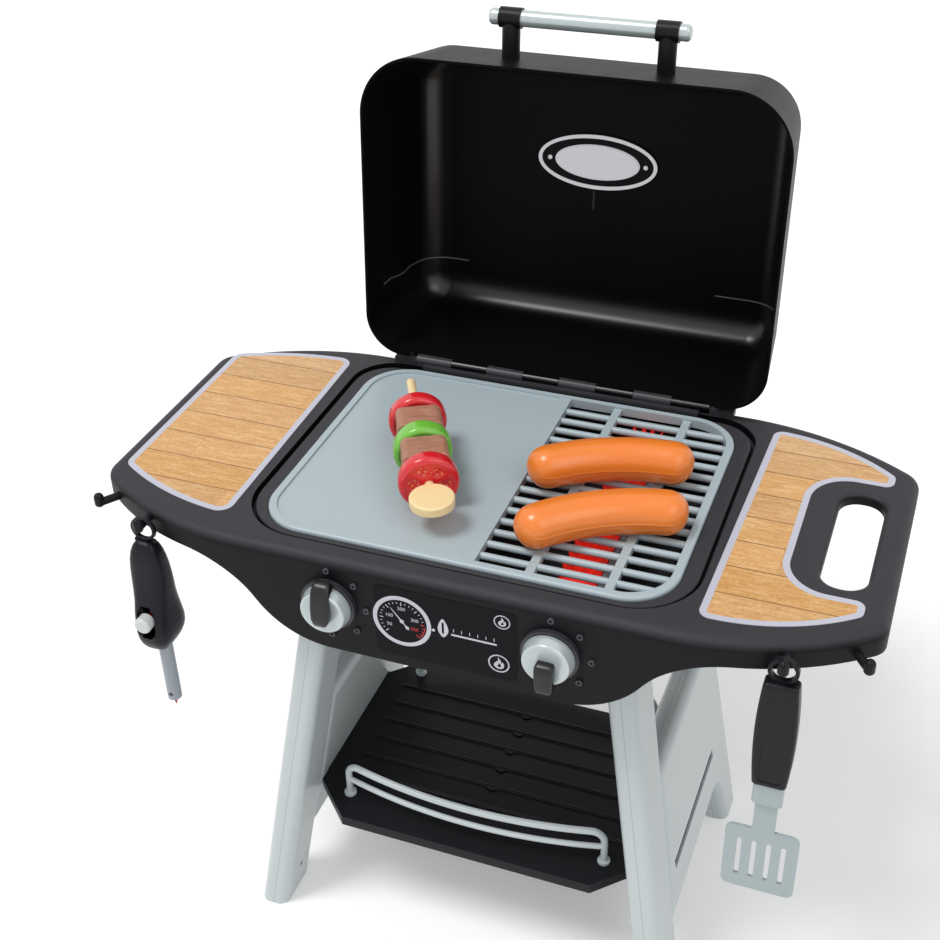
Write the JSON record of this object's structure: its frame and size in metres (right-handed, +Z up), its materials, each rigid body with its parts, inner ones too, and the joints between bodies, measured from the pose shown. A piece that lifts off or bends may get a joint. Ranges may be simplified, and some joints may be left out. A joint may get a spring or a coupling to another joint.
{
  "type": "toy barbecue grill",
  "caption": "Toy barbecue grill on splayed legs with a hinged lid, half-flat half-barred cooking plate, turning flame roller, shelves, play food and hanging tools.",
  "frame": {"origin": "on the floor below the middle of the whole object's box, with the lid open", "axes": "+Z up, -Y is the front with the knobs, X along the worktop from left shelf to right shelf"},
  "size_m": [0.748, 0.5224, 0.8715],
  "materials": {
    "worktop_plastic": "matte",
    "black_plastic": "satin",
    "gloss_black": "glossy",
    "handle_grey": "satin",
    "silver_trim": "satin",
    "plate_grey": "satin",
    "frame_grey": "glossy",
    "rail_grey": "satin",
    "knob_grey": "satin",
    "tube_grey": "satin",
    "steel": "satin",
    "wood_label": "satin",
    "control_label": "satin",
    "spindle_white": "matte",
    "roller_grey": "matte",
    "flame_red": "glossy",
    "sausage_orange": "glossy",
    "tomato_red": "glossy",
    "pepper_green": "glossy",
    "meat_brown": "matte",
    "stick_cream": "satin"
  },
  "bodies": {
    "stand": {"worktop": "worktop_plastic", "shelf_label_left": "wood_label", "shelf_label_right": "wood_label", "control_label": "control_label", "firebox": "black_plastic", "knob_bezel_left": "black_plastic", "knob_bezel_right": "black_plastic", "click_leaf_left": "steel", "click_leaf_right": "steel", "tool_hook_left": "black_plastic", "tool_hook_right": "black_plastic", "corner_hook_left": "black_plastic", "corner_hook_right": "black_plastic", "hinge_rail": "black_plastic", "hinge_pin": "steel", "side_frame_left_outer": "frame_grey", "side_frame_left_inner": "frame_grey", "side_frame_right_outer": "frame_grey", "side_frame_right_inner": "frame_grey", "frame_screws": "steel", "deck_screws": "steel", "lower_shelf": "black_plastic", "shelf_rail_front": "rail_grey", "shelf_rail_rear": "rail_grey"},
    "lid": {"lid_shell": "gloss_black", "lid_handle_bar": "handle_grey", "lid_handle_posts": "black_plastic", "lid_handle_screws": "steel", "lid_badge_plate": "gloss_black", "lid_badge_trim": "silver_trim"},
    "left_knob": {"knob_cap_left": "silver_trim", "knob_lever_left": "black_plastic", "knob_spindle_left": "spindle_white"},
    "right_knob": {"knob_cap_right": "knob_grey", "knob_lever_right": "black_plastic", "knob_spindle_right": "spindle_white", "flame_roller": "roller_grey", "flame_comb": "flame_red", "ash_cover": "roller_grey"},
    "plate": {"cooking_plate": "plate_grey"},
    "front_sausage": {"sausage_front": "sausage_orange"},
    "rear_sausage": {"sausage_rear": "sausage_orange"},
    "skewer": {"skewer_stick": "stick_cream", "tomato_slice_rear": "tomato_red", "tomato_slice_front": "tomato_red", "meat_cube_rear": "meat_brown", "meat_cube_front": "meat_brown", "pepper_ring": "pepper_green"},
    "igniter": {"igniter_shell_left": "black_plastic", "igniter_shell_right": "black_plastic", "igniter_tube": "tube_grey"},
    "igniter_flame": {"igniter_slider": "flame_red", "igniter_button": "silver_trim"},
    "spatula": {"spatula_handle": "black_plastic", "spatula_blade": "tube_grey"}
  },
  "joints": [
    {"name": "lid_hinge", "type": "hinge", "parent": "stand", "child": "lid", "pos_m": [0, 0.11002, 0.5107], "axis": [-1, 0, 0], "range_deg": [-95, 0]},
    {"name": "left_knob_turn", "type": "hinge", "parent": "stand", "child": "left_knob", "pos_m": [-0.1065, -0.23618, 0.456], "axis": [0, 1, 0], "range_deg": [0, 180]},
    {"name": "right_knob_turn", "type": "hinge", "parent": "stand", "child": "right_knob", "pos_m": [0.104, -0.23618, 0.456], "axis": [0, 1, 0], "range_deg": [-180, 0]},
    {"name": "plate_lift", "type": "slide", "parent": "stand", "child": "plate", "axis": [0, 0, 1], "range_m": [0, 0.025]},
    {"name": "front_sausage_lift", "type": "slide", "parent": "plate", "child": "front_sausage", "axis": [0, 0, 1], "range_m": [0, 0.05]},
    {"name": "rear_sausage_lift", "type": "slide", "parent": "plate", "child": "rear_sausage", "axis": [0, 0, 1], "range_m": [0, 0.05]},
    {"name": "skewer_lift", "type": "slide", "parent": "plate", "child": "skewer", "axis": [0, 0, 1], "range_m": [0, 0.05]},
    {"name": "igniter_swing", "type": "hinge", "parent": "stand", "child": "igniter", "pos_m": [-0.3, -0.22918, 0.4935], "axis": [0, 1, 0], "range_deg": [-15, 15]},
    {"name": "igniter_button_slide", "type": "slide", "parent": "igniter", "child": "igniter_flame", "axis": [0, 0, -1], "range_m": [0, 0.009]},
    {"name": "spatula_swing", "type": "hinge", "parent": "stand", "child": "spatula", "pos_m": [0.3, -0.22918, 0.4935], "axis": [0, 1, 0], "range_deg": [-15, 15]}
  ]
}
